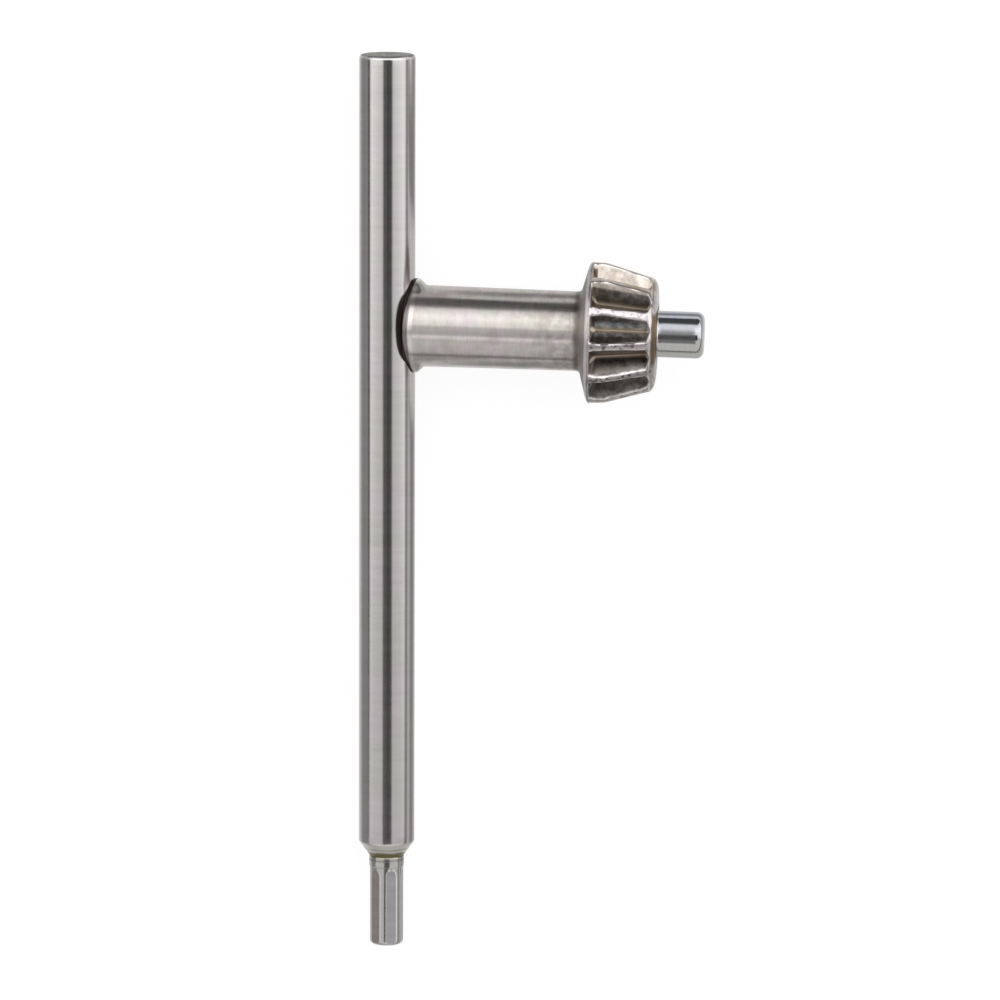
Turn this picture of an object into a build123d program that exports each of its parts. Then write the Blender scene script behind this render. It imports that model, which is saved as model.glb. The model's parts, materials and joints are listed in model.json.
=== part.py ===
from build123d import *
from math import asin, atan2, cos, hypot, radians, sin, sqrt, tan
import os

# Chuck key, modelled upright and then laid down as it rests.
# Upright frame, in millimetres: the bar's axis is Z, with the hexagon tip downwards,
# and the body's axis is X, with the pilot pin pointing towards +X.

# Cross bar
BAR_DIAMETER = 7.0
BAR_PLAIN_REACH = 33.85
BAR_TIP_REACH = 65.8
BAR_PLAIN_EDGE = 0.9
BAR_DISH_DIAMETER = 3.3
BAR_DISH_DEPTH = 0.25
SHOULDER_LENGTH = 1.9
SHOULDER_EDGE = 0.5
SHOULDER_UNDERCUT = 0.08
NECK_DIAMETER = 4.4
NECK_LENGTH = 1.3
NECK_BEVEL = 0.15

# Hexagon tip, turned round and then milled flat on six sides
TIP_LENGTH = 10.15
TIP_DIAMETER = 4.25
TIP_ACROSS_FLATS = 4.0
TIP_SIDES = 6
TIP_END_RADIUS = 0.6
TIP_CUTTER_RADIUS = 4.0

# Foot of the body, butt-welded to the bar a little off square, with an ear each way along the bar
WELD_DEPTH = 1.25
WELD_SKEW = 1.32
FOOT_EDGE = 1.0
EAR_SPAN = 11.8
EAR_HEIGHT = 7.0
EAR_SETBACK = 0.5
EAR_WIDTH = 1.2
EAR_TAPER = 0.9
EAR_EDGE = 0.4

# Shank
SHANK_DIAMETER = 10.18
SHANK_NARROW_DIAMETER = 9.91
SHANK_REACH = 24.2
SHANK_FILLET = 0.6

# Bevel pinion
PINION_DIAMETER = 17.58
PINION_BACK_CONE = 15.3
PINION_RIM_WIDTH = 2.05
PINION_CONE_LENGTH = 6.45
PINION_FACE_CONE = 16.5
PINION_RIM_EDGE = 0.6
PINION_CROWN_RADIUS = 3.0
PINION_NOSE_RADIUS = 1.6

# Teeth
TEETH = 12
TOOTH_PHASE = 5.2
VALLEY_ANGLE = 80.0
VALLEY_ROOT_RADIUS = 0.22
VALLEY_ROOT_CONE = 9.2
VALLEY_DEPTH = 2.43
VALLEY_WALL_INSET = 0.35
VALLEY_WALL_LEAN = 18.0
VALLEY_WALL_RADIUS = 0.35

# Pilot pin, with a low cone where it leaves the pinion's face
PIN_DIAMETER = 5.8
PIN_LENGTH = 5.9
PIN_END_RADIUS = 0.95
PIN_ROOT_DIAMETER = 6.4
PIN_ROOT_LENGTH = 0.75

# How far a cutting solid runs past the faces that it cuts
CUT_MARGIN = 3.0

# Places worked out from the sizes above
FOOT_REACH = BAR_DIAMETER / 2 - WELD_DEPTH
RIM_REACH = SHANK_REACH + (PINION_DIAMETER - SHANK_NARROW_DIAMETER) / 2 * tan(radians(PINION_BACK_CONE))
PINION_CROWN_REACH = RIM_REACH + PINION_RIM_WIDTH
PINION_FACE_REACH = PINION_CROWN_REACH + PINION_CONE_LENGTH
VALLEY_WALL_REACH = RIM_REACH + VALLEY_WALL_INSET


def bar_blank():
    """The bar as turned: dished plain end, shoulder, neck and the round that the hexagon is cut from."""
    bar_radius = BAR_DIAMETER / 2
    neck_radius = NECK_DIAMETER / 2
    tip_radius = TIP_DIAMETER / 2
    shoulder_z = -BAR_TIP_REACH - SHOULDER_LENGTH
    neck_z = shoulder_z - NECK_LENGTH
    neck_step = neck_radius - tip_radius
    end_z = neck_z - TIP_LENGTH
    dish_z = BAR_PLAIN_REACH - BAR_DISH_DEPTH
    outline = FilletPolyline(
        (0, dish_z),
        (BAR_DISH_DIAMETER / 2, BAR_PLAIN_REACH),
        (bar_radius, BAR_PLAIN_REACH),
        (bar_radius, -BAR_TIP_REACH),
        (neck_radius - SHOULDER_UNDERCUT, shoulder_z),
        (neck_radius, shoulder_z - NECK_BEVEL),
        (neck_radius, neck_z),
        (tip_radius, neck_z - neck_step),
        (tip_radius, end_z),
        (0, end_z),
        radius=[0, BAR_PLAIN_EDGE, SHOULDER_EDGE, 0, 0, 0, 0, TIP_END_RADIUS],
    )
    axis_line = Line((0, end_z), (0, dish_z))
    section = make_face(Plane.XZ * (outline + axis_line))
    return revolve(section, axis=Axis.Z)


def flat_cutters():
    """Six milling cuts, each ending in the curved run-out that the cutter leaves at the neck."""
    flat_x = TIP_ACROSS_FLATS / 2
    tip_top = -BAR_TIP_REACH - SHOULDER_LENGTH - NECK_LENGTH
    end_z = tip_top - TIP_LENGTH
    rise = NECK_DIAMETER / 2 - flat_x
    run_out = sqrt(2 * TIP_CUTTER_RADIUS * rise - rise**2)
    cutter_z = tip_top - run_out
    outer_x = flat_x + TIP_CUTTER_RADIUS
    swept = Pos(outer_x, 0, cutter_z) * Rot(90, 0, 0) * Cylinder(TIP_CUTTER_RADIUS, BAR_DIAMETER)
    length = cutter_z - end_z + CUT_MARGIN
    straight = Pos(outer_x, 0, cutter_z - length / 2) * Box(2 * TIP_CUTTER_RADIUS, BAR_DIAMETER, length)
    return PolarLocations(0, TIP_SIDES) * (swept + straight)


def cross_bar():
    """The round handle bar with its hexagon tip."""
    bar = bar_blank()
    for cutter in flat_cutters():
        bar -= cutter
    return bar


def foot_ears():
    """The flare of the foot, which is only as high as the bar that it is pressed against."""
    shank_radius = SHANK_DIAMETER / 2
    ear_radius = EAR_SPAN / 2
    ear_front = FOOT_REACH + EAR_SETBACK
    ear_back = ear_front + EAR_WIDTH
    core_radius = SHANK_NARROW_DIAMETER / 4
    outline = FilletPolyline(
        (ear_front, core_radius),
        (ear_front, ear_radius),
        (ear_back, ear_radius),
        (ear_back + EAR_TAPER, shank_radius),
        (ear_back + EAR_TAPER, core_radius),
        radius=[EAR_EDGE, EAR_EDGE, 0],
    )
    inner_line = Line((ear_back + EAR_TAPER, core_radius), (ear_front, core_radius))
    flare = revolve(make_face(Plane.XZ * (outline + inner_line)), axis=Axis.X)
    return flare & (Pos(ear_back, 0, 0) * Box(EAR_SPAN, EAR_HEIGHT, 2 * EAR_SPAN))


def body_blank():
    """The body as forged and turned: foot, shank, pinion blank and pilot pin with its low cone."""
    shank_radius = SHANK_DIAMETER / 2
    crown_radius = PINION_DIAMETER / 2
    face_drop = PINION_CONE_LENGTH * tan(radians(PINION_FACE_CONE))
    root_radius = PIN_ROOT_DIAMETER / 2
    root_end = PINION_FACE_REACH + PIN_ROOT_LENGTH
    pin_radius = PIN_DIAMETER / 2
    pin_end = PINION_FACE_REACH + PIN_LENGTH
    outline = FilletPolyline(
        (FOOT_REACH, 0),
        (FOOT_REACH, shank_radius),
        (SHANK_REACH, SHANK_NARROW_DIAMETER / 2),
        (RIM_REACH, crown_radius),
        (PINION_CROWN_REACH, crown_radius),
        (PINION_FACE_REACH, crown_radius - face_drop),
        (PINION_FACE_REACH, root_radius),
        (root_end, pin_radius),
        (pin_end, pin_radius),
        (pin_end, 0),
        radius=[
            FOOT_EDGE,
            SHANK_FILLET,
            PINION_RIM_EDGE,
            PINION_CROWN_RADIUS,
            PINION_NOSE_RADIUS,
            0,
            0,
            PIN_END_RADIUS,
        ],
    )
    axis_line = Line((pin_end, 0), (FOOT_REACH, 0))
    section = make_face(Plane.XZ * (outline + axis_line))
    return revolve(section, axis=Axis.X) + foot_ears()


def valley_cutter():
    """One tooth space: a V channel along the root cone, closed at the big end by a leaning wall."""
    crown_radius = PINION_DIAMETER / 2
    root_radius = crown_radius - VALLEY_DEPTH
    wall_run = VALLEY_DEPTH * tan(radians(VALLEY_WALL_LEAN))
    wall_x = VALLEY_WALL_REACH + wall_run
    open_x = PINION_FACE_REACH + CUT_MARGIN
    top_radius = crown_radius + CUT_MARGIN
    top_x = VALLEY_WALL_REACH - CUT_MARGIN * tan(radians(VALLEY_WALL_LEAN))
    open_radius = root_radius - (open_x - wall_x) * tan(radians(VALLEY_ROOT_CONE))
    side = FilletPolyline(
        (open_x, open_radius),
        (wall_x, root_radius),
        (top_x, top_radius),
        radius=[VALLEY_WALL_RADIUS],
    )
    lid = Polyline((top_x, top_radius), (open_x, top_radius), (open_x, open_radius))
    height = top_radius - open_radius
    half_width = height * tan(radians(VALLEY_ANGLE / 2))
    side_face = make_face(Plane.XZ * (side + lid))
    slab = extrude(side_face, amount=half_width, both=True)
    root_length = (open_x - top_x) / cos(radians(VALLEY_ROOT_CONE))
    vee = FilletPolyline(
        (-half_width, height),
        (0, 0),
        (half_width, height),
        radius=[VALLEY_ROOT_RADIUS],
    )
    vee_face = make_face(vee + Line((half_width, height), (-half_width, height)))
    root_plane = Plane(
        origin=(open_x, 0, open_radius),
        x_dir=(0, -1, 0),
        z_dir=(-cos(radians(VALLEY_ROOT_CONE)), 0, sin(radians(VALLEY_ROOT_CONE))),
    )
    channel = extrude(root_plane * vee_face, amount=root_length + CUT_MARGIN)
    return slab & channel


def key_body(bar_envelope):
    """Foot, shank, toothed pinion and pilot pin in one, skewed as it is welded and cut to seat on the bar."""
    body = body_blank()
    cutter = Rot(TOOTH_PHASE, 0, 0) * valley_cutter()
    step = 360 / TEETH
    for index in range(TEETH):
        body -= Rot((index + 0.5) * step, 0, 0) * cutter
    return Rot(0, WELD_SKEW, 0) * body - bar_envelope


def body_axis():
    """The direction from the bar to the pilot pin along the body's own axis."""
    skew = radians(WELD_SKEW)
    return Vector(cos(skew), 0, -sin(skew))


def floor_plane():
    """The flat surface that the lying key touches at its foot, its pinion's rim and its bar's shoulder."""
    taper = atan2((SHANK_DIAMETER - SHANK_NARROW_DIAMETER) / 2, SHANK_REACH - FOOT_REACH)
    foot_x = FOOT_REACH + FOOT_EDGE
    foot_radius = SHANK_DIAMETER / 2 - FOOT_EDGE * (tan(taper) + 1 / cos(taper))
    rim_x = RIM_REACH + PINION_RIM_EDGE * tan(radians((90 - PINION_BACK_CONE) / 2))
    rim_radius = PINION_DIAMETER / 2 - PINION_RIM_EDGE
    span = hypot(rim_x - foot_x, rim_radius - foot_radius)
    lean = atan2(rim_radius - foot_radius, rim_x - foot_x) + asin((PINION_RIM_EDGE - FOOT_EDGE) / span)
    drop = foot_radius * cos(lean) - foot_x * sin(lean) + FOOT_EDGE
    shoulder_rise = (BAR_DIAMETER - NECK_DIAMETER) / 2 + SHOULDER_UNDERCUT
    shoulder_angle = atan2(shoulder_rise, SHOULDER_LENGTH)
    shoulder_z = BAR_TIP_REACH - SHOULDER_EDGE * tan(shoulder_angle / 2)
    shoulder_radius = BAR_DIAMETER / 2 - SHOULDER_EDGE
    shoulder_arm = hypot(shoulder_z, shoulder_radius)
    roll = asin((drop - SHOULDER_EDGE) / shoulder_arm) - atan2(shoulder_radius, shoulder_z)
    skew = radians(WELD_SKEW)
    aside = Vector(sin(skew), 0, cos(skew))
    tilt = (sin(roll) + sin(lean) * sin(skew)) / cos(skew)
    across = sqrt(1 - sin(lean) ** 2 - tilt**2)
    up = body_axis() * sin(lean) + aside * tilt + Vector(0, -across, 0)
    return Plane(origin=up * -drop, x_dir=(-up.Y, up.X, 0), z_dir=up)


def build():
    """Both pieces as they rest, with the origin under the middle of the whole key."""
    bar_envelope = Cylinder(BAR_DIAMETER / 2, 2 * EAR_SPAN)
    floor = floor_plane()
    pieces = {
        "cross_bar": floor.to_local_coords(cross_bar()),
        "key_body": floor.to_local_coords(key_body(bar_envelope)),
    }
    box = Compound(list(pieces.values())).bounding_box()
    middle = box.center()
    return {name: Pos(-middle.X, -middle.Y, -box.min.Z) * piece for name, piece in pieces.items()}


os.makedirs("parts", exist_ok=True)
for node, solid in build().items():
    export_step(solid, f"parts/{node}.step")
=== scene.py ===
"""A drill chuck key of ground and forged steel, lying on a white table.

Both CAD solids are replaced by finer meshes, which Geometry Nodes turn on a lathe and mill. They have the
solids' sizes, apart from a few small edges and slopes that follow this one key. Sizes are in millimetres
until a mesh is placed, and the frame is in metres. "Along" is a distance on a piece's own axis and "out" is
a distance from it. An angle about the body's axis starts where the key faces up, and one about the bar's
axis starts where the body is.
"""
import json
import logging
import math
from collections.abc import Callable, Mapping, Sequence
from dataclasses import dataclass
from enum import Enum
from typing import ClassVar, Union

import bpy
from mathutils import Matrix, Quaternion, Vector


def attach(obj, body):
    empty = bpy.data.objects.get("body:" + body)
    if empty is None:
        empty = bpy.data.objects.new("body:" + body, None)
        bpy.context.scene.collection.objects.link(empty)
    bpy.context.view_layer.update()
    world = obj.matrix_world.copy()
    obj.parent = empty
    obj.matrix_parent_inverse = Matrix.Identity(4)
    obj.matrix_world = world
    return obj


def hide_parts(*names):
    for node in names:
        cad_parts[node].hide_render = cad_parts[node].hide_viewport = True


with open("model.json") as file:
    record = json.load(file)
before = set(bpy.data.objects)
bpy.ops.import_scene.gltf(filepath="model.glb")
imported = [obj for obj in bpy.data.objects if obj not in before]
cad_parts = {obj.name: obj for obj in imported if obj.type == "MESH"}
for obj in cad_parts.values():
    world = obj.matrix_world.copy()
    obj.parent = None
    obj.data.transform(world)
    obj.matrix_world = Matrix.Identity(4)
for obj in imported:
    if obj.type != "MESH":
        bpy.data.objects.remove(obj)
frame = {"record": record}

LOG = logging.getLogger("chuck_key")
MILLIMETRE = 0.001
Colour = tuple[float, float, float]
Span = tuple[float, float]
Lights = tuple[Span, ...]
Feed = Union["Term", bpy.types.NodeSocket, float, int, str, bool, Sequence[float]]


def add_object(name: str, data: bpy.types.ID) -> bpy.types.Object:
    """Puts an object into the scene.

    Args:
        name: its name.
        data: its mesh or lens.

    Returns:
        The object.
    """
    added = bpy.data.objects.new(name, data)
    bpy.context.scene.collection.objects.link(added)
    return added


class Slot(Enum):
    """The record's material slots."""

    GROUND = "ground_steel"
    FORGED = "forged_steel"


class Node(Enum):
    """The CAD nodes that the pieces stand for."""

    BAR = "cross_bar"
    BODY = "key_body"


class Term:
    """A number or field in a node tree, which plain arithmetic turns into Math nodes."""

    def __init__(self, maker: "TreeMaker", socket: bpy.types.NodeSocket) -> None:
        """Keeps the tree and the socket that the number comes from."""
        self.maker = maker
        self.socket = socket

    def __add__(self, other: Feed) -> "Term":
        """The sum."""
        return self.maker.math("ADD", self, other)

    def __sub__(self, other: Feed) -> "Term":
        """The difference."""
        return self.maker.math("SUBTRACT", self, other)

    def __rsub__(self, other: Feed) -> "Term":
        """The difference from a plain number."""
        return self.maker.math("SUBTRACT", other, self)

    def __mul__(self, other: Feed) -> "Term":
        """The product."""
        return self.maker.math("MULTIPLY", self, other)

    def __truediv__(self, other: Feed) -> "Term":
        """The quotient."""
        return self.maker.math("DIVIDE", self, other)

    def __rtruediv__(self, other: Feed) -> "Term":
        """A plain number divided by this one."""
        return self.maker.math("DIVIDE", other, self)

    __radd__ = __add__
    __rmul__ = __mul__


class TreeMaker:
    """Adds and joins nodes in one node tree."""

    def __init__(self, tree: bpy.types.NodeTree) -> None:
        """Keeps the tree that the nodes go into."""
        self.tree = tree

    @classmethod
    def fresh(cls, owner: bpy.types.Material | bpy.types.World) -> "TreeMaker":
        """Clears the nodes of a material or world.

        Args:
            owner: the material or world.

        Returns:
            The maker for its new nodes.
        """
        owner.use_nodes = True
        owner.node_tree.nodes.clear()
        return cls(owner.node_tree)

    def node(
        self, kind: str, feeds: Mapping[object, Feed] | None = None, **settings: object
    ) -> bpy.types.Node:
        """Adds a node.

        Args:
            kind: Blender's name for the node type.
            feeds: what goes into its sockets, by their name or number.
            **settings: its properties.

        Returns:
            The node.
        """
        node = self.tree.nodes.new(kind)
        for name, value in settings.items():
            setattr(node, name, value)
        for key, value in (feeds or {}).items():
            self.feed(node.inputs[key], value)
        return node

    def feed(self, socket: bpy.types.NodeSocket, value: Feed) -> None:
        """Links a socket, or sets its value.

        Args:
            socket: the socket to feed.
            value: a term or socket to link, or a plain value.
        """
        if isinstance(value, Term):
            value = value.socket
        if isinstance(value, bpy.types.NodeSocket):
            self.tree.links.new(value, socket)
        else:
            socket.default_value = value

    def term(
        self, kind: str, feeds: Mapping[object, Feed] | None = None, out: object = 0, **settings: object
    ) -> Term:
        """Adds a node and returns one of its outputs.

        Args:
            kind: Blender's name for the node type.
            feeds: what goes into its sockets.
            out: the name or number of the output.
            **settings: its properties.

        Returns:
            That output as a term.
        """
        return Term(self, self.node(kind, feeds, **settings).outputs[out])

    def math(self, operation: str, *values: Feed) -> Term:
        """Does one sum on fields.

        Args:
            operation: Blender's name for the sum.
            *values: its operands.

        Returns:
            The result.
        """
        return self.term("ShaderNodeMath", dict(enumerate(values)), operation=operation)

    def softest(self, first: Term, second: Feed, blend: Feed, sign: float) -> Term:
        """The larger or smaller of two numbers, with the corner between them rounded.

        Args:
            first: one number.
            second: the other.
            blend: the width of the rounding.
            sign: 1 for the larger of the two, -1 for the smaller.

        Returns:
            The rounded result.
        """
        gap = first - second
        reach = self.math("SQRT", gap * gap + self.math("MULTIPLY", blend, blend))
        return (first + second + reach * sign) * 0.5

    def between(self, share: Feed, first: Feed, second: Feed) -> Term:
        """Mixes two numbers.

        Args:
            share: how much of the second there is.
            first: one number.
            second: the other.

        Returns:
            The mixture.
        """
        return self.term("ShaderNodeMix", {0: share, 2: first, 3: second}, 0, data_type="FLOAT")

    def ramp(self, value: Feed, low: Feed, high: Feed, start: float = 0.0, end: float = 1.0) -> Term:
        """A smooth step.

        Args:
            value: what is measured.
            low: the value where the step starts.
            high: the value where it ends.
            start: the result below the step.
            end: the result above it.

        Returns:
            The stepped result.
        """
        feeds = {"Value": value, "From Min": low, "From Max": high, "To Min": start, "To Max": end}
        return self.term("ShaderNodeMapRange", feeds, "Result", interpolation_type="SMOOTHSTEP")

    def fall(self, value: Feed, low: Feed, high: Feed, start: float = 1.0) -> Term:
        """A smooth step down from a start to nothing, as ramp makes it."""
        return self.ramp(value, low, high, start, 0.0)

    def within(self, value: Feed, span: Span, soft: float) -> Term:
        """A mask for a span of values.

        Args:
            value: what is measured.
            span: where the mask starts and where it ends.
            soft: how softly, to each side.

        Returns:
            The mask.
        """
        low, high = span
        return self.ramp(value, low - soft, low + soft) * self.fall(value, high - soft, high + soft)

    def noise(
        self, vector: Feed, scale: Feed, detail: float = 2.0, seed: Feed = 0.0, out: str = "Fac"
    ) -> Term:
        """Four-dimensional noise, whose fourth place is its seed.

        Args:
            vector: where it is read.
            scale: how many blotches there are to a unit.
            detail: how many finer layers it has.
            seed: the fixed seed.
            out: Fac for a number or Color for a vector.

        Returns:
            The noise.
        """
        feeds = {"Vector": vector, "W": seed, "Scale": scale, "Detail": detail}
        return self.term("ShaderNodeTexNoise", feeds, out, noise_dimensions="4D")

    def blend(self, share: Feed, first: Feed, second: Feed) -> Term:
        """Mixes two colours.

        Args:
            share: how much of the second there is.
            first: one colour.
            second: the other.

        Returns:
            The mixture.
        """
        feeds = {0: share, 6: self.opaque(first), 7: self.opaque(second)}
        return self.term("ShaderNodeMix", feeds, 2, data_type="RGBA")

    @staticmethod
    def opaque(colour: Feed) -> Feed:
        """A plain colour with its fourth part added, or a term as it is."""
        return (*colour, 1.0) if isinstance(colour, tuple) else colour

    def effect(self, group: bpy.types.NodeTree, **feeds: Feed) -> Term:
        """Uses one of the shared effects, with its inputs given by name."""
        named = {name.replace("_", " ").title(): value for name, value in feeds.items()}
        return self.term("ShaderNodeGroup", named, 0, node_tree=group)

    def pack(self, x: Feed, y: Feed, z: Feed) -> Term:
        """A vector from its three parts."""
        return self.term("ShaderNodeCombineXYZ", {0: x, 1: y, 2: z})

    def parts(self, vector: Feed) -> tuple[Term, Term, Term]:
        """The three parts of a vector."""
        node = self.node("ShaderNodeSeparateXYZ", {0: vector})
        return tuple(Term(self, socket) for socket in node.outputs)


@dataclass(frozen=True)
class KeyPose:
    """Where the key lies: the place where its two axes cross, and the direction of each axis."""

    crossing: Vector
    tip: Vector
    pin: Vector

    @classmethod
    def from_mounts(cls, mounts: Sequence[Mapping[str, object]]) -> "KeyPose":
        """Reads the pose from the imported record.

        Args:
            mounts: the record's mounts.

        Returns:
            The pose.
        """
        named = {mount["name"]: mount for mount in mounts}
        tip = Vector(named["hex_tip"]["axis"]).normalized()
        pin = Vector(named["pilot_pin"]["axis"]).normalized()
        start = Vector(named["hex_tip"]["pos_m"])
        lean = pin - tip * pin.dot(tip)
        reach = (Vector(named["pilot_pin"]["pos_m"]) - start).dot(lean) / lean.dot(lean)
        crossing = Vector(named["pilot_pin"]["pos_m"]) - pin * reach
        return cls(crossing, tip, pin)

    def matrix(self, along: Vector, facing: Vector) -> Matrix:
        """A piece's own frame, in which its mesh is made in millimetres.

        Args:
            along: the direction of its axis.
            facing: the direction at which its angles start.

        Returns:
            The matrix that puts it in the row frame.
        """
        side = along.cross(facing)
        turn = Matrix((facing, side, along)).transposed().to_4x4()
        return Matrix.Translation(self.crossing) @ turn @ Matrix.Scale(MILLIMETRE, 4)

    @property
    def up(self) -> Vector:
        """The direction square to both axes, away from the table."""
        return self.tip.cross(self.pin).normalized()

    @property
    def bar(self) -> Matrix:
        """The cross bar's frame: along towards the plain end, angles from the side where the body is."""
        along = -self.tip
        return self.matrix(along, (self.pin - along * self.pin.dot(along)).normalized())

    @property
    def body(self) -> Matrix:
        """The body's frame: along towards the pilot pin, angles from the side that faces up."""
        return self.matrix(self.pin, self.up)


@dataclass(frozen=True)
class Corner:
    """One corner of a turned outline, with its rounding radius and the longest step of the run after it."""

    along: float
    out: float
    radius: float = 0.0
    step: float = 1.0

    @property
    def point(self) -> Vector:
        """Its place in the plane of the outline."""
        return Vector((self.along, self.out))


@dataclass(frozen=True)
class Outline:
    """The outline of a turned piece, from its low end to its high end."""

    corners: tuple[Corner, ...]
    arc_turn: float = math.radians(9.0)
    slack: float = 1e-6

    def rounded(self, index: int) -> list[Vector]:
        """One corner as points on its arc.

        Args:
            index: which corner.

        Returns:
            The points, or the corner itself where it is sharp.
        """
        corner = self.corners[index]
        if corner.radius == 0.0:
            return [corner.point]
        back = (self.corners[index - 1].point - corner.point).normalized()
        ahead = (self.corners[index + 1].point - corner.point).normalized()
        half = back.angle(ahead) / 2
        centre = corner.point + (back + ahead).normalized() * (corner.radius / math.sin(half))
        start = corner.point + back * (corner.radius / math.tan(half)) - centre
        end = corner.point + ahead * (corner.radius / math.tan(half)) - centre
        turn = start.angle_signed(end)
        steps = max(2, math.ceil(abs(turn) / self.arc_turn))
        return [centre + Matrix.Rotation(-turn * i / steps, 2) @ start for i in range(steps + 1)]

    def points(self) -> list[Vector]:
        """The whole outline as rows of points, with its long runs divided.

        Returns:
            The points.
        """
        rows: list[Vector] = []
        step = 1.0
        for index, corner in enumerate(self.corners):
            for point in self.rounded(index):
                if rows:
                    count = max(1, math.ceil((point - rows[-1]).length / step - self.slack))
                    start = rows[-1]
                    rows.extend(start.lerp(point, i / count) for i in range(1, count + 1))
                else:
                    rows.append(point)
                step = corner.step
        return rows


@dataclass
class Turning:
    """The fields of a piece on the lathe, before it is cut."""

    along: Term
    out: Term
    angle: Term
    size: Callable[[str], Term]


@dataclass
class Turned:
    """The fields of a piece after its cuts, with the masks that its material reads."""

    along: Term
    out: Term
    depth: Feed = 0.0
    edge: Feed = 0.0
    root: Feed = 0.0


Cut = Callable[[TreeMaker, Turning], Turned]


class Lathe:
    """Makes a piece by turning an outline and cutting it, all in one Geometry Nodes tree."""

    SEAM_GAP = 1e-5
    CREASE = math.radians(28.0)

    def __init__(self, name: str, outline: Outline, sizes: Mapping[str, float], cut: Cut) -> None:
        """Keeps what the piece is made from.

        Args:
            name: the piece's name.
            outline: its outline.
            sizes: the tree's inputs, by name.
            cut: the function that adds the cuts to the tree.
        """
        self.name = name
        self.outline = outline
        self.sizes = sizes
        self.cut = cut

    def tree(self) -> bpy.types.NodeTree:
        """Builds the Geometry Nodes tree.

        Returns:
            The tree, whose inputs are the outline, the sizes and the material.
        """
        tree = bpy.data.node_groups.new(f"{self.name}_turning", "GeometryNodeTree")
        ports = tree.interface
        ports.new_socket("Outline", in_out="INPUT", socket_type="NodeSocketGeometry")
        ports.new_socket("Piece", in_out="OUTPUT", socket_type="NodeSocketGeometry")
        for name, value in self.sizes.items():
            kind = "NodeSocketInt" if isinstance(value, int) else "NodeSocketFloat"
            ports.new_socket(name, in_out="INPUT", socket_type=kind)
        ports.new_socket("Material", in_out="INPUT", socket_type="NodeSocketMaterial")
        maker = TreeMaker(tree)
        inlet = maker.node("NodeGroupInput")

        def size(name: str) -> Term:
            """One of the tree's inputs."""
            return Term(maker, inlet.outputs[name])

        rows = maker.term("GeometryNodeAttributeDomainSize", {0: size("Outline")}, "Point Count")
        columns = size("Columns")
        grid = maker.node("GeometryNodeMeshGrid", {"Vertices X": rows, "Vertices Y": columns + 1})
        index = maker.term("GeometryNodeInputIndex")
        row = maker.math("FLOOR", (index + 0.5) / (columns + 1))
        column = index - row * (columns + 1)
        place = maker.term("GeometryNodeInputPosition")
        sampled = maker.node(
            "GeometryNodeSampleIndex",
            {"Geometry": size("Outline"), "Value": place, "Index": row},
            data_type="FLOAT_VECTOR",
        )
        along, out, _ = maker.parts(sampled.outputs[0])
        angle = (1.0 - column / columns) * math.tau
        turned = self.cut(maker, Turning(along, out, angle, size))
        spot = maker.pack(
            turned.out * maker.math("COSINE", angle), turned.out * maker.math("SINE", angle), turned.along
        )
        centred = maker.node(
            "ShaderNodeVectorMath",
            {
                0: maker.noise(spot, 1.0 / size("Unevenness Size"), 1.0, size("Seed"), "Color"),
                1: (0.5, 0.5, 0.5),
            },
            operation="SUBTRACT",
        )
        shift = maker.node(
            "ShaderNodeVectorMath", {0: centred.outputs[0], "Scale": size("Unevenness")}, operation="SCALE"
        )
        around, upwards, _ = maker.parts(Term(maker, grid.outputs["UV Map"]))
        mesh = grid.outputs["Mesh"]
        stored = (
            ("UVMap", "FLOAT2", "CORNER", maker.pack(upwards, around, 0.0)),
            ("spot", "FLOAT_VECTOR", "POINT", spot),
            ("depth", "FLOAT", "POINT", turned.depth),
            ("edge", "FLOAT", "POINT", turned.edge),
            ("root", "FLOAT", "POINT", turned.root),
        )
        for name, kind, domain, value in stored:
            store = maker.node(
                "GeometryNodeStoreNamedAttribute",
                {"Geometry": mesh, "Name": name, "Value": value},
                data_type=kind,
                domain=domain,
            )
            mesh = store.outputs[0]
        placed = maker.node(
            "GeometryNodeSetPosition", {"Geometry": mesh, "Position": spot, "Offset": shift.outputs[0]}
        )
        merged = maker.node(
            "GeometryNodeMergeByDistance", {"Geometry": placed.outputs[0], "Distance": self.SEAM_GAP}
        )
        real = maker.node("GeometryNodeRealizeInstances", {"Geometry": merged.outputs[0]})
        dressed = maker.node(
            "GeometryNodeSetMaterial", {"Geometry": real.outputs[0], "Material": size("Material")}
        )
        maker.node("NodeGroupOutput", {0: dressed.outputs[0]})
        return tree

    def make(self, placing: Matrix, material: bpy.types.Material) -> bpy.types.Object:
        """Makes the piece as a plain mesh.

        Args:
            placing: the matrix from its own frame to the row frame.
            material: its finish.

        Returns:
            The object, at the origin, with its place in its mesh.
        """
        wire = bpy.data.meshes.new(f"{self.name}_outline")
        wire.from_pydata([(point.x, point.y, 0.0) for point in self.outline.points()], [], [])
        blank = add_object(f"{self.name}_blank", wire)
        modifier = blank.modifiers.new("Turning", "NODES")
        modifier.node_group = self.tree()
        values = {**self.sizes, "Material": material}
        for port in modifier.node_group.interface.items_tree:
            if port.in_out == "INPUT" and port.name in values:
                modifier[port.identifier] = values[port.name]
        ready = blank.evaluated_get(bpy.context.evaluated_depsgraph_get())
        mesh = bpy.data.meshes.new_from_object(ready)
        bpy.data.objects.remove(blank)
        mesh.transform(placing)
        mesh.shade_smooth()
        mesh.set_sharp_from_angle(angle=self.CREASE)
        mesh.name = self.name
        return add_object(self.name, mesh)


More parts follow.
